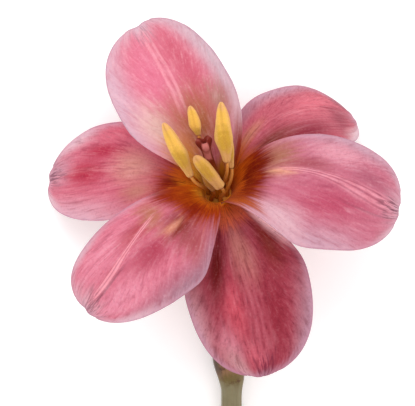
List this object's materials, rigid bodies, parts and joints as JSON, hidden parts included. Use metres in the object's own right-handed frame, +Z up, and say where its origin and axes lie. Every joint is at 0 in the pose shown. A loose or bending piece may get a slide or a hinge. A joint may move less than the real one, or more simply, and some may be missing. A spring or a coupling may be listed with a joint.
{
  "type": "single cut tulip",
  "caption": "Wide-open single tulip, cut and lying down: rose-pink tepals with a dark red and orange heart, yellow anthers, a maroon stigma and a bare stem.",
  "frame": {"origin": "on the surface the flower lies on, under the middle of its overall box, about 60 mm from the receptacle towards the cut end", "axes": "+Y from the cut end along the stem to the flower, +Z up from the surface, +X to the right when the stem points away"},
  "size_m": [0.1197, 0.226, 0.0552],
  "materials": {
    "inner_tepal": "satin",
    "outer_tepal": "satin",
    "filament": "satin",
    "anther": "matte",
    "pistil": "satin",
    "stem": "satin"
  },
  "bodies": {
    "root": {"tepal_inner_back": "inner_tepal", "tepal_inner_right": "inner_tepal", "tepal_inner_left": "inner_tepal", "tepal_outer_right": "outer_tepal", "tepal_outer_front": "outer_tepal", "tepal_outer_left": "outer_tepal", "filament_1": "filament", "anther_1": "anther", "filament_2": "filament", "anther_2": "anther", "filament_3": "filament", "anther_3": "anther", "filament_4": "filament", "anther_4": "anther", "filament_5": "filament", "anther_5": "anther", "filament_6": "filament", "anther_6": "anther", "pistil": "pistil", "stem": "stem"}
  },
  "joints": []
}
